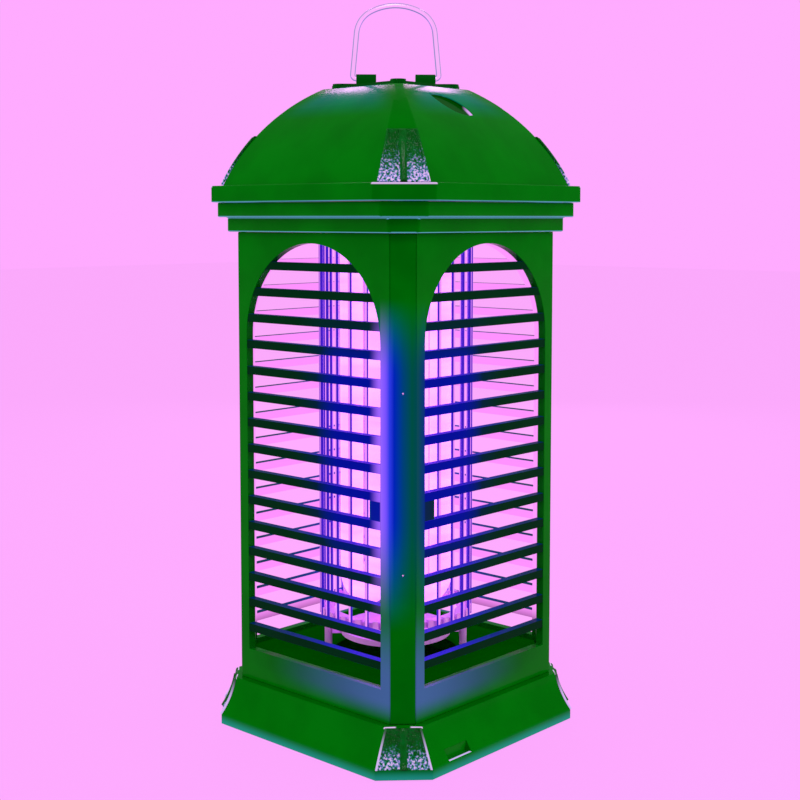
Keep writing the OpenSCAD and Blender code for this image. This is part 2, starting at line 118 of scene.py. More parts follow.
# Leaf-shaped recess: the right face's arc as (x, z) of its centre, and the recess in it
FACE_ARC, LEAF_DEEP = (-0.0332, 0.2422), (0.11615, 0.11645)
LEAF_X, LEAF_Y, LEAF_Z, LEAF_TIP_Y = (0.032, 0.033), (0.018, 0.019), (0.315, 0.316), (0.0045, 0.0065)
# Notch in the right side of the base
NOTCH_X, NOTCH_RISE, NOTCH_FALL = (0.0749, 0.0754), (0.0058, 0.0061), (0.0063, 0.0067)
# Corner chamfers' top edges, by |x times y| in square metres, height and distance from the diagonal
UPPER_SPREAD, UPPER_RISE = (0.00452, 0.00458), (0.2886, 0.2892)
LOWER_SPREAD, LOWER_RISE, LOWER_FALL = (0.00371, 0.00373), (0.0235, 0.0239), (0.0246, 0.0248)
LOWER_ASIDE = (0.0045, 0.0060)
# Ornaments: painted glints and painted highlights on the rims
BASE_GLINT_FALL, DOME_GLINT_FALL, DOME_ONLY = (0.008, 0.020), (0.291, 0.312), (0.2, 0.25)
GLINT_ASIDE = (0.0016, 0.0030)
RIM_STEP, RIM_FALL, RIM_SLOPE = (0.0143, 0.0148), (0.012, 0.025), 0.2646


# ---- node helpers ----
def new_material(name):
    mat = bpy.data.materials.new(name)
    mat.use_nodes = True
    nodes = mat.node_tree.nodes
    nodes.clear()
    out = nodes.new("ShaderNodeOutputMaterial")
    shader = nodes.new("ShaderNodeBsdfPrincipled")
    mat.node_tree.links.new(shader.outputs[0], out.inputs[0])
    return mat, shader


def feed(mat, value, socket):
    """Links an output to the socket, or sets the socket to a constant."""
    if isinstance(value, bpy.types.NodeSocket):
        mat.node_tree.links.new(value, socket)
    else:
        socket.default_value = value


def emit(mat, shader, hue, strength):
    feed(mat, hue, shader.inputs["Emission Color"])
    shader.inputs["Emission Strength"].default_value = strength


def coordinates(mat, scale):
    """Object coordinates scaled so that 1 is 1/scale metres."""
    coord = mat.node_tree.nodes.new("ShaderNodeTexCoord")
    mapping = mat.node_tree.nodes.new("ShaderNodeMapping")
    mapping.inputs["Scale"].default_value = scale if isinstance(scale, tuple) else (scale,) * 3
    mat.node_tree.links.new(coord.outputs["Object"], mapping.inputs[0])
    return mapping.outputs[0]


def noise_map(mat, scale, detail=3.0):
    tex = mat.node_tree.nodes.new("ShaderNodeTexNoise")
    tex.inputs["Scale"].default_value = 1.0
    tex.inputs["Detail"].default_value = detail
    mat.node_tree.links.new(coordinates(mat, scale), tex.inputs["Vector"])
    return tex.outputs[0]


def ramp(mat, source, stops):
    """A colour ramp whose stops are (place, colour or grey level)."""
    node = mat.node_tree.nodes.new("ShaderNodeValToRGB")
    while len(node.color_ramp.elements) < len(stops):
        node.color_ramp.elements.new(0.5)
    for element, (place, colour) in zip(node.color_ramp.elements, stops):
        element.position = place
        element.color = (*colour, 1.0) if isinstance(colour, tuple) else (colour, colour, colour, 1.0)
    mat.node_tree.links.new(source, node.inputs[0])
    return node.outputs[0]


def bump(mat, shader, source, strength, distance):
    node = mat.node_tree.nodes.new("ShaderNodeBump")
    node.inputs["Strength"].default_value = strength
    node.inputs["Distance"].default_value = distance
    mat.node_tree.links.new(source, node.inputs["Height"])
    mat.node_tree.links.new(node.outputs[0], shader.inputs["Normal"])


def math_node(mat, kind, *values):
    node = mat.node_tree.nodes.new("ShaderNodeMath")
    node.operation = kind
    for value, socket in zip(values, node.inputs):
        feed(mat, value, socket)
    return node.outputs[0]


def vector_node(mat, kind, *values):
    node = mat.node_tree.nodes.new("ShaderNodeVectorMath")
    node.operation = kind
    for value, socket in zip(values, node.inputs):
        feed(mat, value, socket)
    return node.outputs["Value" if kind == "DOT_PRODUCT" else "Vector"]


def product(mat, *factors):
    result = factors[0]
    for factor in factors[1:]:
        result = math_node(mat, "MULTIPLY", result, factor)
    return result


def mix_colour(mat, factor, a, b):
    node = mat.node_tree.nodes.new("ShaderNodeMix")
    node.data_type = "RGBA"
    for index, value in ((0, factor), (6, a), (7, b)):
        feed(mat, (*value, 1.0) if isinstance(value, tuple) else value, node.inputs[index])
    return node.outputs[2]


def rise(mat, value, step):
    """0 below the step and 1 above it."""
    node = mat.node_tree.nodes.new("ShaderNodeMapRange")
    node.interpolation_type = "SMOOTHSTEP"
    node.inputs["From Min"].default_value, node.inputs["From Max"].default_value = step
    mat.node_tree.links.new(value, node.inputs["Value"])
    return node.outputs[0]


def fade(mat, value, step):
    """1 below the step and 0 above it."""
    return math_node(mat, "SUBTRACT", 1.0, rise(mat, value, step))


# ---- places on the object ----
def split_position(mat):
    """Object position as x, y and z, in metres."""
    coord = mat.node_tree.nodes.new("ShaderNodeTexCoord")
    split = mat.node_tree.nodes.new("ShaderNodeSeparateXYZ")
    mat.node_tree.links.new(coord.outputs["Object"], split.inputs[0])
    return split.outputs


def normal_z(mat):
    """The upward part of the face's direction."""
    geometry = mat.node_tree.nodes.new("ShaderNodeNewGeometry")
    split = mat.node_tree.nodes.new("ShaderNodeSeparateXYZ")
    mat.node_tree.links.new(geometry.outputs["True Normal"], split.inputs[0])
    return split.outputs[2]


def magnitudes(mat, position):
    """|x| and |y|."""
    return [math_node(mat, "ABSOLUTE", position[axis]) for axis in (0, 1)]


def off_middle(mat, position):
    """Distance from the middle of the face: the smaller of |x| and |y|."""
    return math_node(mat, "MINIMUM", *magnitudes(mat, position))


def outermost(mat, position):
    """Distance from the axis planes: the larger of |x| and |y|."""
    return math_node(mat, "MAXIMUM", *magnitudes(mat, position))


def off_diagonal(mat, position):
    """Distance from the nearest corner's diagonal, times the square root of 2."""
    return math_node(mat, "ABSOLUTE", math_node(mat, "SUBTRACT", *magnitudes(mat, position)))


def toward_corner(mat, position, side):
    """0 to 1 along each face towards the front and back corners, where x and y have opposite signs."""
    return rise(mat, product(mat, position[0], position[1], -1.0), side)


def across_corner(mat):
    """0 to 1 across the corner, from just inside the front window to just inside the right one."""
    position = split_position(mat)
    node = mat.node_tree.nodes.new("ShaderNodeMapRange")
    node.inputs["From Min"].default_value = -CORNER_BAND
    node.inputs["From Max"].default_value = CORNER_BAND
    mat.node_tree.links.new(math_node(mat, "ADD", position[0], position[1]), node.inputs["Value"])
    return node.outputs[0]


def glow_mask(mat, side):
    """Where the tubes' light is painted on: on the front and back corners, or along the slats."""
    position = split_position(mat)
    return product(mat, toward_corner(mat, position, side), rise(mat, position[2], GLOW_RISE),
                   fade(mat, position[2], GLOW_FALL))


def sill_mask(mat, side):
    """The sheen low on the panels, stronger towards the front and back corners, and none on the posts."""
    position = split_position(mat)
    return product(mat, toward_corner(mat, position, side), fade(mat, off_middle(mat, position), POST_EDGE),
                   fade(mat, position[2], SILL_FALL), rise(mat, position[2], SILL_RISE),
                   rise(mat, outermost(mat, position), PANEL_FACE))


def crown_mask(mat):
    """The sheen round the dome's crown, on its faces but not on its corners."""
    position = split_position(mat)
    return product(mat, rise(mat, off_diagonal(mat, position), CROWN_ASIDE),
                   rise(mat, position[2], CROWN_RISE))


def level_faces(mat):
    """1 on faces that look up or down, such as the slats' edges."""
    return rise(mat, math_node(mat, "ABSOLUTE", normal_z(mat)), (0.3, 0.6))


def under_edges(mat):
    """1 on the rounded lower edges of the cornice's steps, and half on the edge under the dome's cover."""
    down = product(mat, normal_z(mat), -1.0)
    height = split_position(mat)[2]
    steps = product(mat, rise(mat, down, (0.3, 0.5)), fade(mat, down, (0.85, 0.95)),
                    rise(mat, height, CORNICE_RISE))
    cover = product(mat, rise(mat, height, COVER_RISE), fade(mat, height, COVER_FALL), 0.5)
    return math_node(mat, "MAXIMUM", cover, steps)


def inside_leaf(mat):
    """1 on the walls and floor of the leaf-shaped recess in the right face of the dome."""
    position = split_position(mat)
    x = math_node(mat, "SUBTRACT", position[0], FACE_ARC[0])
    z = math_node(mat, "SUBTRACT", position[2], FACE_ARC[1])
    squares = math_node(mat, "ADD", product(mat, x, x), product(mat, z, z))
    return product(mat, fade(mat, math_node(mat, "SQRT", squares), LEAF_DEEP), rise(mat, position[0], LEAF_X),
                   fade(mat, math_node(mat, "ABSOLUTE", position[1]), LEAF_Y), rise(mat, position[2], LEAF_Z))


def notch_floor(mat):
    """1 on the floor of the small notch in the right side of the base."""
    position = split_position(mat)
    return product(mat, rise(mat, normal_z(mat), (0.8, 0.9)), rise(mat, position[0], NOTCH_X),
                   rise(mat, position[2], NOTCH_RISE), fade(mat, position[2], NOTCH_FALL))


def corner_edges(mat):
    """1 on the top edges of the corner chamfers, under the dome's ornaments and over the base's."""
    position = split_position(mat)
    spread = math_node(mat, "ABSOLUTE", product(mat, position[0], position[1]))
    upper = product(mat, rise(mat, spread, UPPER_SPREAD), rise(mat, position[2], UPPER_RISE))
    lower = product(mat, rise(mat, spread, LOWER_SPREAD), rise(mat, position[2], LOWER_RISE),
                    fade(mat, position[2], LOWER_FALL), rise(mat, off_diagonal(mat, position), LOWER_ASIDE))
    return math_node(mat, "MAXIMUM", upper, lower)


def lit_inside(mat, reach):
    """1 on faces that look in at the tubes, above the sill, within reach of the axis planes."""
    geometry = mat.node_tree.nodes.new("ShaderNodeNewGeometry")
    level = vector_node(mat, "MULTIPLY", geometry.outputs["Position"], (1.0, 1.0, 0.0))
    away = vector_node(mat, "NORMALIZE", level)
    inward = product(mat, vector_node(mat, "DOT_PRODUCT", away, geometry.outputs["True Normal"]), -1.0)
    position = split_position(mat)
    return product(mat, rise(mat, inward, (0.45, 0.62)), rise(mat, position[2], INSIDE_RISE),
                   fade(mat, outermost(mat, position), (reach - REACH_STEP, reach)))


# ---- painted light: each function gives its colour and the tint left under it ----
def shell_light(mat, tint):
    position = split_position(mat)
    glow, hollow = glow_mask(mat, SHELL_SIDE), inside_leaf(mat)
    # painted glow of the tubes' light on the front and back corners
    hue = mix_colour(mat, glow, BLACK, ramp(mat, across_corner(mat), CORNER_GLOW_HUES))
    for place, light in (
            (sill_mask(mat, SILL_LIGHT_SIDE), SILL_LIGHT),
            (crown_mask(mat), CROWN_LIGHT),
            (under_edges(mat), EDGE_LIGHT),
            (fade(mat, position[2], LIP_FALL), LIP_LIGHT),
            (corner_edges(mat), CORNER_EDGE_LIGHT),
            (notch_floor(mat), NOTCH_LIGHT),
            (hollow, LEAF_LIGHT),
            (product(mat, hollow, rise(mat, position[1], LEAF_TIP_Y)), LEAF_TIP_LIGHT),
            (lit_inside(mat, SHELL_REACH), INSIDE_LIGHT)):
        hue = mix_colour(mat, place, hue, light)
    for place, shade in (
            (product(mat, sill_mask(mat, SILL_SHADE_SIDE), 0.7), SILL_SHADE),
            (hollow, LEAF_SHADE),
            (glow, GLOW_SHADE)):
        tint = mix_colour(mat, place, tint, shade)
    return hue, tint


def slat_light(mat, tint):
    position = split_position(mat)
    glow = glow_mask(mat, SLAT_SIDE)
    along = product(mat, toward_corner(mat, position, SLAT_EDGE_SIDE), fade(mat, position[2], SLAT_EDGE_FALL))
    hue = mix_colour(mat, level_faces(mat), ramp(mat, glow, SLAT_FACE_GLOW_HUES), ramp(mat, along, SLAT_EDGE_LIGHT_HUES))
    near_end = product(mat, glow, toward_corner(mat, position, SLAT_END_SIDE),
                       fade(mat, across_corner(mat), (0.3, 0.5)))
    hue = mix_colour(mat, near_end, hue, SLAT_END_LIGHT)
    hue = mix_colour(mat, lit_inside(mat, SLAT_REACH), hue, INSIDE_LIGHT)
    return hue, mix_colour(mat, glow, tint, GLOW_SHADE)


# ---- materials ----
def plastic(name, colour, rough=0.3, specular=0.3, mottle=0.1, grain=0.2, painted=None, lift=0.0):
    """Moulded plastic: slight colour mottling, uneven gloss and a fine moulded grain.
    painted is the function for the lamp's light on it, if any.
    lift is a faint light of the plastic's own colour, for inner parts."""
    mat, shader = new_material(name)
    links = mat.node_tree.links
    dark = tuple(c * (1.0 - mottle) for c in colour)
    light = tuple(min(1.0, c * (1.0 + mottle)) for c in colour)
    tint = ramp(mat, noise_map(mat, 38.0), ((0.35, dark), (0.65, light)))
    gloss = ramp(mat, noise_map(mat, 120.0), ((0.3, rough * 0.85), (0.7, rough * 1.2)))
    links.new(gloss, shader.inputs["Roughness"])
    shader.inputs["Specular IOR Level"].default_value = specular
    shader.inputs["Specular Tint"].default_value = (*[c / max(colour) for c in colour], 1.0)
    bump(mat, shader, noise_map(mat, 2600.0, 2.0), grain, 0.00004)
    if lift:
        emit(mat, shader, (*colour, 1.0), lift)
    if painted:
        hue, tint = painted(mat, tint)
        emit(mat, shader, hue, 1.0)
    links.new(tint, shader.inputs["Base Color"])
    return mat


def metal(name, colour, rough, scratch):
    """Bright metal with fine drawn scratches along Z."""
    mat, shader = new_material(name)
    links = mat.node_tree.links
    shader.inputs["Metallic"].default_value = 1.0
    tint = ramp(mat, noise_map(mat, 90.0), ((0.3, tuple(c * 0.9 for c in colour)), (0.7, colour)))
    links.new(tint, shader.inputs["Base Color"])
    lines = noise_map(mat, (2200.0, 2200.0, 60.0), 2.0)
    links.new(ramp(mat, lines, ((0.3, rough * 0.7), (0.7, rough * 1.4))), shader.inputs["Roughness"])
    bump(mat, shader, lines, scratch, 0.00002)
    return mat


def wire_with_painted_reflection(name):
    """Polished bail wire with a painted reflection: bright towards the front and back, lavender on its
    flanks.
    """
    mat, shader = new_material(name)
    coord = mat.node_tree.nodes.new("ShaderNodeTexCoord")
    front = (math.sqrt(0.5), -math.sqrt(0.5), 0.0)
    facing = vector_node(mat, "DOT_PRODUCT", coord.outputs["Normal"], front)
    face = rise(mat, math_node(mat, "ABSOLUTE", facing), (0.55, 0.85))
    # painted reflection: bright where the wire faces front or back, lavender on its flanks
    emit(mat, shader, mix_colour(mat, face, (0.16, 0.2, 0.5), (1.0, 0.42, 1.0)), 0.9)
    streaks = noise_map(mat, (900.0, 900.0, 60.0), 2.0)
    tint = ramp(mat, streaks, ((0.3, (0.1, 0.08, 0.16)), (0.7, (0.2, 0.14, 0.26))))
    mat.node_tree.links.new(tint, shader.inputs["Base Color"])
    shader.inputs["Metallic"].default_value = 1.0
    shader.inputs["Roughness"].default_value = 0.12
    return mat


def lit_wire(name):
    """Grid wire: bright where it faces the tubes or away from them, deep blue on its flanks."""
    mat, shader = new_material(name)
    geometry = mat.node_tree.nodes.new("ShaderNodeNewGeometry")
    coord = mat.node_tree.nodes.new("ShaderNodeTexCoord")
    around = vector_node(mat, "NORMALIZE",
                         vector_node(mat, "CROSS_PRODUCT", coord.outputs["Object"], (0.0, 0.0, 1.0)))
    facing = vector_node(mat, "DOT_PRODUCT", around, geometry.outputs["Normal"])
    flank = rise(mat, math_node(mat, "ABSOLUTE", facing), (0.5, 0.68))
    emit(mat, shader, mix_colour(mat, flank, (1.0, 0.32, 1.0), (0.02, 0.006, 0.5)), 0.85)
    streaks = noise_map(mat, (900.0, 900.0, 40.0), 2.0)
    tint = ramp(mat, streaks, ((0.3, (0.03, 0.01, 0.1)), (0.7, (0.06, 0.02, 0.2))))
    mat.node_tree.links.new(tint, shader.inputs["Base Color"])
    shader.inputs["Roughness"].default_value = 0.4
    shader.inputs["Specular IOR Level"].default_value = 0.1
    return mat


def hammered_plate(name):
    """Hammered trim: glossy green with painted lavender glints low on each ornament, and painted highlights
    on the base ornaments' rims.
    """
    mat, shader = new_material(name)
    links = mat.node_tree.links
    position = split_position(mat)
    z, aside = position[2], off_diagonal(mat, position)
    base = product(mat, fade(mat, z, BASE_GLINT_FALL), 0.88)
    dome = product(mat, fade(mat, z, DOME_GLINT_FALL), rise(mat, z, DOME_ONLY))
    strength = product(mat, math_node(mat, "MAXIMUM", base, dome), rise(mat, aside, GLINT_ASIDE))
    edge = math_node(mat, "ADD", product(mat, aside, math.sqrt(0.5)), product(mat, z, RIM_SLOPE))
    rim = product(mat, rise(mat, edge, RIM_STEP), fade(mat, z, RIM_FALL))
    dents_and_glints = noise_map(mat, 900.0)
    shift = product(mat, math_node(mat, "SUBTRACT", strength, 0.55), 0.22)
    hue = ramp(mat, math_node(mat, "ADD", dents_and_glints, shift), GLINT_HUES)
    # painted glints and painted rim highlights, given off as emitted light
    emit(mat, shader, mix_colour(mat, rim, mix_colour(mat, strength, BLACK, hue), RIM_LIGHT), 0.9)
    tint = ramp(mat, noise_map(mat, 260.0), ((0.35, (0.0, 0.09, 0.004)), (0.65, (0.0, 0.125, 0.012))))
    links.new(tint, shader.inputs["Base Color"])
    links.new(ramp(mat, dents_and_glints, ((0.3, 0.1), (0.7, 0.22))), shader.inputs["Roughness"])
    shader.inputs["Specular IOR Level"].default_value = 0.12
    bump(mat, shader, dents_and_glints, 0.4, 0.0003)
    return mat


def glowing_core():
    """The glowing phosphor inside a tube: pink-white, with faint bands along its length."""
    mat, shader = new_material("tube_glow")
    shader.inputs["Base Color"].default_value = (0.9, 0.5, 1.0, 1.0)
    bands = noise_map(mat, (20.0, 20.0, 160.0), 2.0)
    emit(mat, shader, ramp(mat, bands, ((0.35, (1.0, 0.30, 1.0)), (0.65, (1.0, 0.42, 1.0)))), 1.15)
    return mat


def tube_glass():
    """Blue-violet filter glass over the glow."""
    mat, shader = new_material("tube_glass")
    tint = ramp(mat, noise_map(mat, 30.0), ((0.3, (0.35, 0.25, 1.0)), (0.7, (0.5, 0.32, 1.0))))
    mat.node_tree.links.new(tint, shader.inputs["Base Color"])
    shader.inputs["Roughness"].default_value = 0.06
    shader.inputs["IOR"].default_value = 1.3
    shader.inputs["Alpha"].default_value = 0.22
    emit(mat, shader, (0.25, 0.06, 1.0, 1.0), 0.5)
    return mat


PLASTICS = {
    "green_shell": dict(colour=SHELL_GREEN, rough=0.14, specular=0.05, painted=shell_light),
    "dark_shell": dict(colour=DEEP_GREEN, rough=0.75, specular=0.0, lift=0.6),
    "grille_green": dict(colour=(0.0, 0.024, 0.006), rough=0.4, specular=0.02, painted=slat_light),
    "cap_plastic": dict(colour=(0.0, 0.075, 0.004), specular=0.05),
    "tray_plastic": dict(colour=SHELL_GREEN, specular=0.05),
    "foot_rubber": dict(colour=(0.01, 0.04, 0.012), rough=0.75, mottle=0.2, grain=0.8),
    "gland_rubber": dict(colour=(0.01, 0.05, 0.015), rough=0.75, mottle=0.2, grain=0.8),
    "white_insulator": dict(colour=(0.9, 0.42, 0.95), specular=0.4, mottle=0.06),
    "board": dict(colour=(0.02, 0.22, 0.06), rough=0.4, specular=0.4),
    "transformer": dict(colour=(0.4, 0.22, 0.05), rough=0.5),
    "capacitor": dict(colour=(0.03, 0.05, 0.3)),
    "lead_insulation": dict(colour=(0.5, 0.03, 0.03), rough=0.4),
}
MATERIALS = {slot: plastic(slot, **look) for slot, look in PLASTICS.items()}
MATERIALS["hammered_trim"] = hammered_plate("hammered_trim")
MATERIALS["screw_steel"] = metal("screw_steel", (0.55, 0.5, 0.6), 0.3, 0.3)
MATERIALS["bail_chrome"] = wire_with_painted_reflection("bail_chrome")
MATERIALS["grid_steel"] = lit_wire("grid_steel")
MATERIALS["lamp_glass"] = tube_glass()
TUBE_GLOW = glowing_core()
SLOT_OF = {s["node"]: s["material_slot"] for s in frame["record"]["subparts"]}


# ---- CAD nodes: materials, smooth shading and rounded edges ----
BEVEL_MM = {
    "base_skirt": 1.0, "cornice_ring": 1.1, "dome_cover": 1.0, "top_cap": 0.25, "catch_tray": 0.5,
    "front_panel": 0.35, "right_panel": 0.35, "rear_panel": 0.35, "left_panel": 0.35, "corner_posts": 0.5,
    "front_grille": 0.5, "right_grille": 0.5, "rear_grille": 0.5, "left_grille": 0.5,
    "grid_bottom_ring": 0.3, "grid_top_ring": 0.3, "grid_hub": 0.4, "cord_gland": 0.4, "lamp_holder": 0.5,
    "cap_screw": 0.2, "base_screws": 0.15, "rubber_feet": 0.25, "bottom_plate": 0.3, "floor_plate": 0.4,
    "transformer": 0.4, "capacitors": 0.6, "circuit_board": 0.15, "head_plate": 0.3, "grid_posts": 0.2,
}


def dress_node(name, obj):
    obj.data.materials.clear()
    obj.data.materials.append(MATERIALS[SLOT_OF[name]])
    obj.data.polygons.foreach_set("use_smooth", [True] * len(obj.data.polygons))
    weld = obj.modifiers.new("weld", "WELD")
    weld.merge_threshold = 0.002 * MM
    if name in BEVEL_MM:
        edge = obj.modifiers.new("edge", "BEVEL")
        edge.width = BEVEL_MM[name] * MM
        edge.segments = 3
        edge.limit_method = "ANGLE"
        edge.angle_limit = math.radians(28)
    shade = obj.modifiers.new("shade", "WEIGHTED_NORMAL")
    shade.keep_sharp = True


for node_name, node_object in frame["nodes"].items():
    dress_node(node_name, node_object)


# ---- mesh helpers ----
def corner_axes(angle):
    """Unit vectors outwards and sideways at an angle in degrees about the object's axis."""
    a = math.radians(angle)
    return Vector((math.cos(a), math.sin(a), 0)), Vector((-math.sin(a), math.cos(a), 0))


def add_piece(name, verts, faces, material, body):
    mesh = bpy.data.meshes.new(name)
    mesh.from_pydata([tuple(v) for v in verts], [], faces)
    mesh.validate()
    mesh.update()
    obj = bpy.data.objects.new(name, mesh)
    bpy.context.scene.collection.objects.link(obj)
    mesh.materials.append(material)
    mesh.polygons.foreach_set("use_smooth", [True] * len(mesh.polygons))
    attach(obj, body)
    return obj


def tube_along(points, radius, sides=24):
    """Vertices and faces of a closed tube that follows points lying in one upright plane."""
    verts, faces = [], []
    count = len(points)
    plane_normal = UP.cross((points[-1] - points[0]).normalized()).normalized()
    for i, p in enumerate(points):
        ahead = points[min(i + 1, count - 1)] - points[max(i - 1, 0)]
        side = ahead.normalized().cross(plane_normal)
        for k in range(sides):
            a = 2 * math.pi * k / sides
            verts.append(p + radius * (math.cos(a) * plane_normal + math.sin(a) * side))
    for i in range(count - 1):
        for k in range(sides):
            n = (k + 1) % sides
            faces.append((i * sides + k, i * sides + n, (i + 1) * sides + n, (i + 1) * sides + k))
    faces.append(tuple(range(sides)))
    faces.append(tuple((count - 1) * sides + k for k in reversed(range(sides))))
    return verts, faces


# ---- the wire bail ----
def bail_outline():
    """Half of the bail's centreline, from the tip in a lug to the crown, as (across, up) in mm."""
    lean, a = math.radians(LEG_A), math.radians(CROWN_A)
    crown_c = CROWN_Z - CROWN_R
    sx, sz = (CROWN_R - SHOULDER_R) * math.sin(a), crown_c + (CROWN_R - SHOULDER_R) * math.cos(a)
    top = (sx + SHOULDER_R * math.cos(lean), sz + SHOULDER_R * math.sin(lean))
    foot_x = top[0] + (top[1] - PIVOT_Z) * math.tan(lean)
    foot_z = PIVOT_Z + FOOT_R
    points = [(x, PIVOT_Z) for x in TIP_X]
    for i in range(9):
        b = math.radians(-90 + 90 * i / 8)
        points.append((foot_x - FOOT_R + FOOT_R * math.cos(b), foot_z + FOOT_R * math.sin(b)))
    for t in (0.2, 0.4, 0.6, 0.8, 1.0):
        points.append((foot_x + (top[0] - foot_x) * t, foot_z + (top[1] - foot_z) * t))
    for i in range(1, 13):
        b = lean + (math.pi / 2 - a - lean) * i / 12
        points.append((sx + SHOULDER_R * math.cos(b), sz + SHOULDER_R * math.sin(b)))
    for i in range(1, 9):
        b = math.pi / 2 - a + a * i / 8
        points.append((CROWN_R * math.cos(b), crown_c + CROWN_R * math.sin(b)))
    return points


def build_bail():
    half = bail_outline()
    whole = [(-x, z) for x, z in half] + [(x, z) for x, z in reversed(half[:-1])]
    diagonal = Vector((1, 1, 0)).normalized()
    points = [(diagonal * x + UP * z) * MM for x, z in whole]
    verts, faces = tube_along(points, WIRE_R * MM)
    obj = add_piece("bail_wire", verts, faces, MATERIALS["bail_chrome"], "bail")
    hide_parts("bail_handle")


build_bail()


# ---- hammered corner ornaments ----
def hammered(p):
    """Depth of the hammered finish at a point, from 0 to 1."""
    near = noise.voronoi(p * DENT_SCALE)[0]
    return min(1.0, max(0.0, 1.5 * near[0]))


def trim_height(t, half):
    """Height of an ornament's rib, the ledge beside it and the rims along its sides. None between them."""
    if abs(t) < RIB_HALF:
        return TRIM_LIFT + RIB_RISE
    if abs(t) < LEDGE_HALF:
        return TRIM_LIFT + LEDGE_RISE
    if half - abs(t) < RIM_WIDTH:
        return TRIM_LIFT + RIM_RISE
    return None


def trim_grid(name, radius_at, z_range, half_range, seed):
    """Closed plates on the four corners, on a surface whose radius is radius_at(z, height)."""
    rows, columns = 64, 76
    width = columns + 1
    layer = (rows + 1) * width
    verts, faces = [], []
    for corner in range(4):
        start = len(verts)
        out, side = corner_axes(45 + 90 * corner)
        for back in (False, True):
            for i in range(rows + 1):
                f = i / rows
                z = z_range[0] + (z_range[1] - z_range[0]) * f
                half = half_range[0] + (half_range[1] - half_range[0]) * f
                for j in range(width):
                    t = half * (2 * j / columns - 1)
                    height = TRIM_BACK
                    if not back:
                        height = trim_height(t, half)
                        if height is None:
                            dent = hammered(Vector((t, z, seed + 10 * corner)))
                            height = TRIM_LIFT - DENT_TOP - DENT_DEPTH * dent
                        if f < 0.02 or f > 0.98:
                            height = min(height, TRIM_LIFT)
                    verts.append((out * radius_at(z, height) + side * t + UP * z) * MM)
        for i in range(rows):
            for j in range(columns):
                q = start + i * width + j
                faces.append((q, q + 1, q + width + 1, q + width))
                faces.append((q + layer, q + layer + width, q + layer + width + 1, q + layer + 1))
        for i in range(rows):
            for q, flip in ((start + i * width, False), (start + i * width + columns, True)):
                quad = (q, q + width, q + width + layer, q + layer)
                faces.append(quad[::-1] if flip else quad)
        for j in range(columns):
            for q, flip in ((start + j, True), (start + rows * width + j, False)):
                quad = (q, q + 1, q + 1 + layer, q + layer)
                faces.append(quad[::-1] if flip else quad)
    return add_piece(name, verts, faces, MATERIALS["hammered_trim"], "housing")


def dome_radius(z, height):
    centre, up, r = DOME_DIAG
    return centre + math.sqrt((r + height) ** 2 - (z - up) ** 2)


def flare_centre():
    """Centre of the base's flare on the corner, as (out, up) in mm."""
    dx, dz = BASE_DIAG - LIP_DIAG, BASE_TOP - LIP_Z
    length = math.hypot(dx, dz)
    k = math.sqrt(FLARE_R ** 2 - length ** 2 / 4)
    return (LIP_DIAG + BASE_DIAG) / 2 + k * dz / length, (LIP_Z + BASE_TOP) / 2 - k * dx / length


FLARE_C = flare_centre()


def base_radius(z, height):
    return FLARE_C[0] + height - math.sqrt(FLARE_R ** 2 - (z - FLARE_C[1]) ** 2)


dome_trims = trim_grid("dome_trim_plates", dome_radius, DOME_TRIM_Z, DOME_TRIM_HALF, 3.0)
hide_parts("dome_corner_trims")
base_trims = trim_grid("base_trim_plates", base_radius, BASE_TRIM_Z, BASE_TRIM_HALF, 90.0)
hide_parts("base_corner_trims")


# ---- glowing tubes ----
def build_tube_cores():
    """Glowing cores of the four U-tubes, just inside their glass."""
    half_step = math.radians(22.5)
    spread = TUBE_PCR * math.sin(half_step)
    bend_z = TUBE_Z0 + TUBE_R + spread
    top_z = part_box("lamp_holder")[0].z / MM + TUBE_SUNK
    verts, faces = [], []
    for turn in range(4):
        out, side = corner_axes(90 * turn)
        out = out * TUBE_PCR * math.cos(half_step)
        path = [out + side * spread + UP * (top_z - (top_z - bend_z) * i / 12) for i in range(13)]
        for i in range(1, 24):
            b = math.pi * i / 24
            path.append(out + side * spread * math.cos(b) + UP * (bend_z - spread * math.sin(b)))
        path += [out - side * spread + UP * (bend_z + (top_z - bend_z) * i / 12) for i in range(13)]
        core_verts, core_faces = tube_along([p * MM for p in path], (TUBE_R - GLASS_T) * MM, 20)
        start = len(verts)
        verts += core_verts
        faces += [tuple(start + k for k in face) for face in core_faces]
    add_piece("tube_glow_cores", verts, faces, TUBE_GLOW, "housing")


build_tube_cores()


# ---- tiny pips on the corner posts ----
def build_post_pips():
    """Closed domes, 5 rings of 16 points each."""
    rings, sides = 5, 16
    verts, faces = [], []
    for corner in (-45, 135):
        out, side = corner_axes(corner)
        for z in PIP_Z:
            centre = (out * PIP_OUT + UP * z) * MM
            start = len(verts)
            for r in range(rings):
                b = math.pi / 2 * r / rings
                for k in range(sides):
                    a = 2 * math.pi * k / sides
                    flat = side * math.cos(a) + UP * math.sin(a)
                    verts.append(centre + PIP_R * MM * (flat * math.cos(b) + out * PIP_FLAT * math.sin(b)))
            for r in range(rings - 1):
                for k in range(sides):
                    n = (k + 1) % sides
                    faces.append((start + r * sides + k, start + r * sides + n,
                                  start + (r + 1) * sides + n, start + (r + 1) * sides + k))
            faces.append(tuple(start + (rings - 1) * sides + k for k in range(sides)))
            faces.append(tuple(start + k for k in reversed(range(sides))))
    add_piece("post_pips", verts, faces, MATERIALS["white_insulator"], "housing")


build_post_pips()


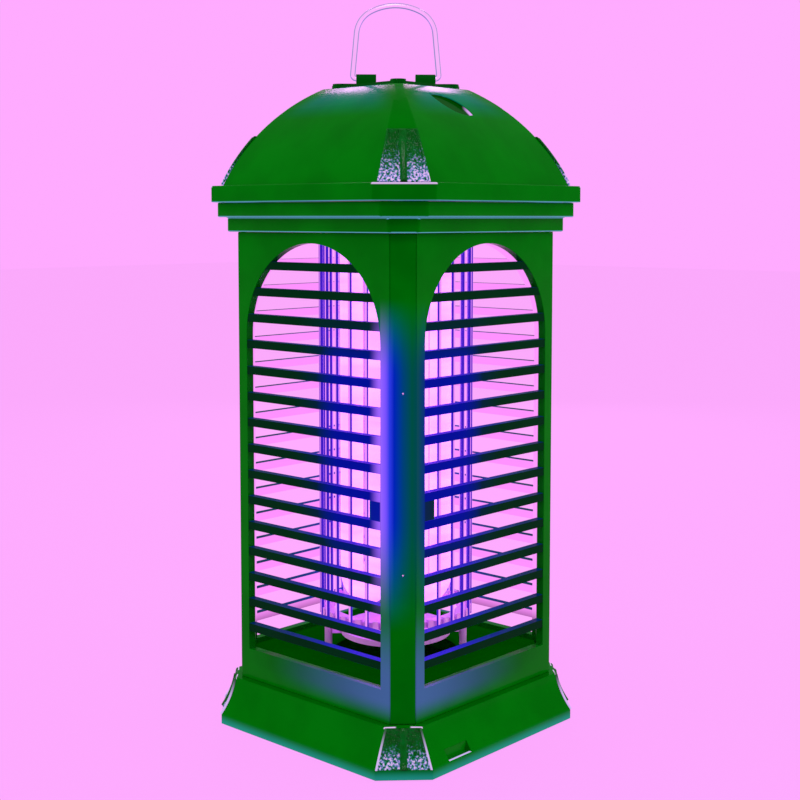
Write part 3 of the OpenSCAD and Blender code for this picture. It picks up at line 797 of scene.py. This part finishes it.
# ---- floor, world, lights and camera ----
def build_floor():
    mesh = bpy.data.meshes.new("floor")
    half = 6.0
    corners = [(-half, -half, 0), (half, -half, 0), (half, half, 0), (-half, half, 0)]
    mesh.from_pydata(corners, [], [(0, 1, 2, 3)])
    floor = bpy.data.objects.new("floor", mesh)
    bpy.context.scene.collection.objects.link(floor)
    floor.location.z = -0.2 * MM
    mat, shader = new_material("pale_floor")
    shader.inputs["Base Color"].default_value = (0.05, 0.02, 0.05, 1)
    shader.inputs["Roughness"].default_value = 0.9
    shader.inputs["Specular IOR Level"].default_value = 0.0
    emit(mat, shader, (*PINK, 1), 0.955)
    mesh.materials.append(mat)


def build_world():
    """Pink to the camera, and a soft green light on the object."""
    world = bpy.data.worlds.new("studio")
    bpy.context.scene.world = world
    world.use_nodes = True
    nodes, links = world.node_tree.nodes, world.node_tree.links
    nodes.clear()
    out = nodes.new("ShaderNodeOutputWorld")
    mix = nodes.new("ShaderNodeMixShader")
    path = nodes.new("ShaderNodeLightPath")
    seen = nodes.new("ShaderNodeBackground")
    seen.inputs[0].default_value = (*PINK, 1)
    soft = nodes.new("ShaderNodeBackground")
    soft.inputs[0].default_value = (0.3, 0.62, 0.36, 1)
    soft.inputs[1].default_value = 0.8
    links.new(path.outputs["Is Camera Ray"], mix.inputs[0])
    links.new(soft.outputs[0], mix.inputs[1])
    links.new(seen.outputs[0], mix.inputs[2])
    links.new(mix.outputs[0], out.inputs[0])


def area_light(name, place, target, size, power, colour, glossy):
    data = bpy.data.lights.new(name, "AREA")
    data.shape = "RECTANGLE"
    data.size, data.size_y = size
    data.energy = power
    data.color = colour
    light = bpy.data.objects.new(name, data)
    bpy.context.scene.collection.objects.link(light)
    light.location = place
    light.rotation_euler = (Vector(target) - Vector(place)).to_track_quat("-Z", "Y").to_euler()
    light.visible_glossy = glossy


def build_camera():
    data = bpy.data.cameras.new("camera")
    data.sensor_width = 36
    data.lens = 62.9
    data.shift_x = 0.00475
    data.shift_y = -0.088
    camera = bpy.data.objects.new("camera", data)
    bpy.context.scene.collection.objects.link(camera)
    camera.location = (0.5102, -0.5545, 0.2734)
    camera.rotation_euler = (math.radians(90 - 4.6), 0, math.radians(42.6))
    bpy.context.scene.camera = camera


KEY_HUE, CROWN_HUE, GLINT_HUE = (0.9, 1.0, 0.95), (1.0, 0.42, 1.0), (0.9, 0.75, 1.0)
MIDDLE = (0, 0, 0.2)
# Name, place, target, size, power, colour, and whether it shows in reflections
LIGHTS = (
    ("key_left", (-0.6, -0.95, 0.45), MIDDLE, (0.5, 0.9), 5.6, KEY_HUE, False),
    ("key_right", (1.0, 0.5, 0.45), MIDDLE, (0.5, 0.9), 5.6, KEY_HUE, False),
    ("back_soft", (-0.7, 0.9, 0.6), MIDDLE, (0.6, 0.9), 6.0, KEY_HUE, False),
    ("crown_left", (-0.829, 0.441, 1.066), (0.003, -0.03, 0.34), (0.1, 0.1), 0.55, CROWN_HUE, True),
    ("crown_right", (-0.413, 0.881, 1.007), (0.03, -0.013, 0.34), (0.1, 0.1), 0.55, CROWN_HUE, True),
    ("dome_glint", (0.38, -0.41, 1.35), (0.06, -0.06, 0.3), (0.25, 0.25), 1.8, GLINT_HUE, True),
    ("base_glint", (0.63, -0.63, 0.93), (0.06, -0.06, 0.02), (0.25, 0.25), 1.8, GLINT_HUE, True),
)

build_floor()
build_world()
build_camera()
bpy.context.scene.view_settings.view_transform = "Standard"
for light_row in LIGHTS:
    area_light(*light_row)
